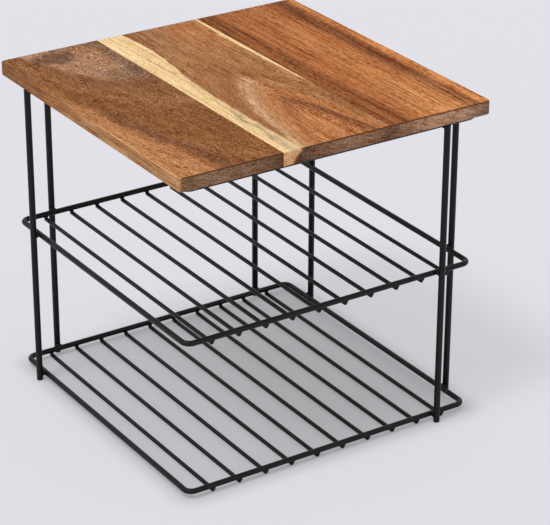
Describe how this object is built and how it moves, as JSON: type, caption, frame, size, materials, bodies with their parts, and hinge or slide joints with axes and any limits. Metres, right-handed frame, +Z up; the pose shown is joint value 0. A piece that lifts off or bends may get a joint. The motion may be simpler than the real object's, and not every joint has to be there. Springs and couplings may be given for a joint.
{
  "type": "two-tier kitchen rack",
  "caption": "Free-standing kitchen rack: a square board of glued wood planks over wire shelves, on straight wire legs with one front corner left open for reaching in.",
  "frame": {"origin": "under the centre of the board, on the level that the feet stand on", "axes": "+Z up; +X to the right along the front edge; +Y to the back, along the planks and the cross wires. The corner without a leg is at -X -Y."},
  "size_m": [0.25, 0.25, 0.244],
  "materials": {
    "wood_brown": "oiled acacia heartwood, satin",
    "wood_banded": "oiled acacia with a pale sapwood band, satin",
    "wood_red": "oiled reddish acacia heartwood, satin",
    "black_coat": "black powder coat on steel wire, satin",
    "screw_steel": "zinc plated"
  },
  "bodies": {
    "root": {"plank_left": "wood_brown", "plank_middle": "wood_banded", "plank_right": "wood_red", "lower_rim": "black_coat", "upper_rim": "black_coat", "top_rim": "black_coat", "leg_left_side_back": "black_coat", "leg_back_side_left": "black_coat", "leg_back_side_right": "black_coat", "leg_right_side_back": "black_coat", "leg_right_side_front": "black_coat", "leg_front_side_right": "black_coat", "lower_cross_wire_01": "black_coat", "lower_cross_wire_02": "black_coat", "lower_cross_wire_03": "black_coat", "lower_cross_wire_04": "black_coat", "lower_cross_wire_05": "black_coat", "lower_cross_wire_06": "black_coat", "lower_cross_wire_07": "black_coat", "lower_cross_wire_08": "black_coat", "lower_cross_wire_09": "black_coat", "lower_cross_wire_10": "black_coat", "upper_cross_wire_01": "black_coat", "upper_cross_wire_02": "black_coat", "upper_cross_wire_03": "black_coat", "upper_cross_wire_04": "black_coat", "upper_cross_wire_05": "black_coat", "upper_cross_wire_06": "black_coat", "upper_cross_wire_07": "black_coat", "upper_cross_wire_08": "black_coat", "upper_cross_wire_09": "black_coat", "upper_cross_wire_10": "black_coat", "screw_tab_left": "black_coat", "screw_tab_back": "black_coat", "screw_tab_right": "black_coat", "screw_tab_front": "black_coat", "board_screw_left": "screw_steel", "board_screw_back": "screw_steel", "board_screw_right": "screw_steel", "board_screw_front": "screw_steel"}
  },
  "joints": []
}
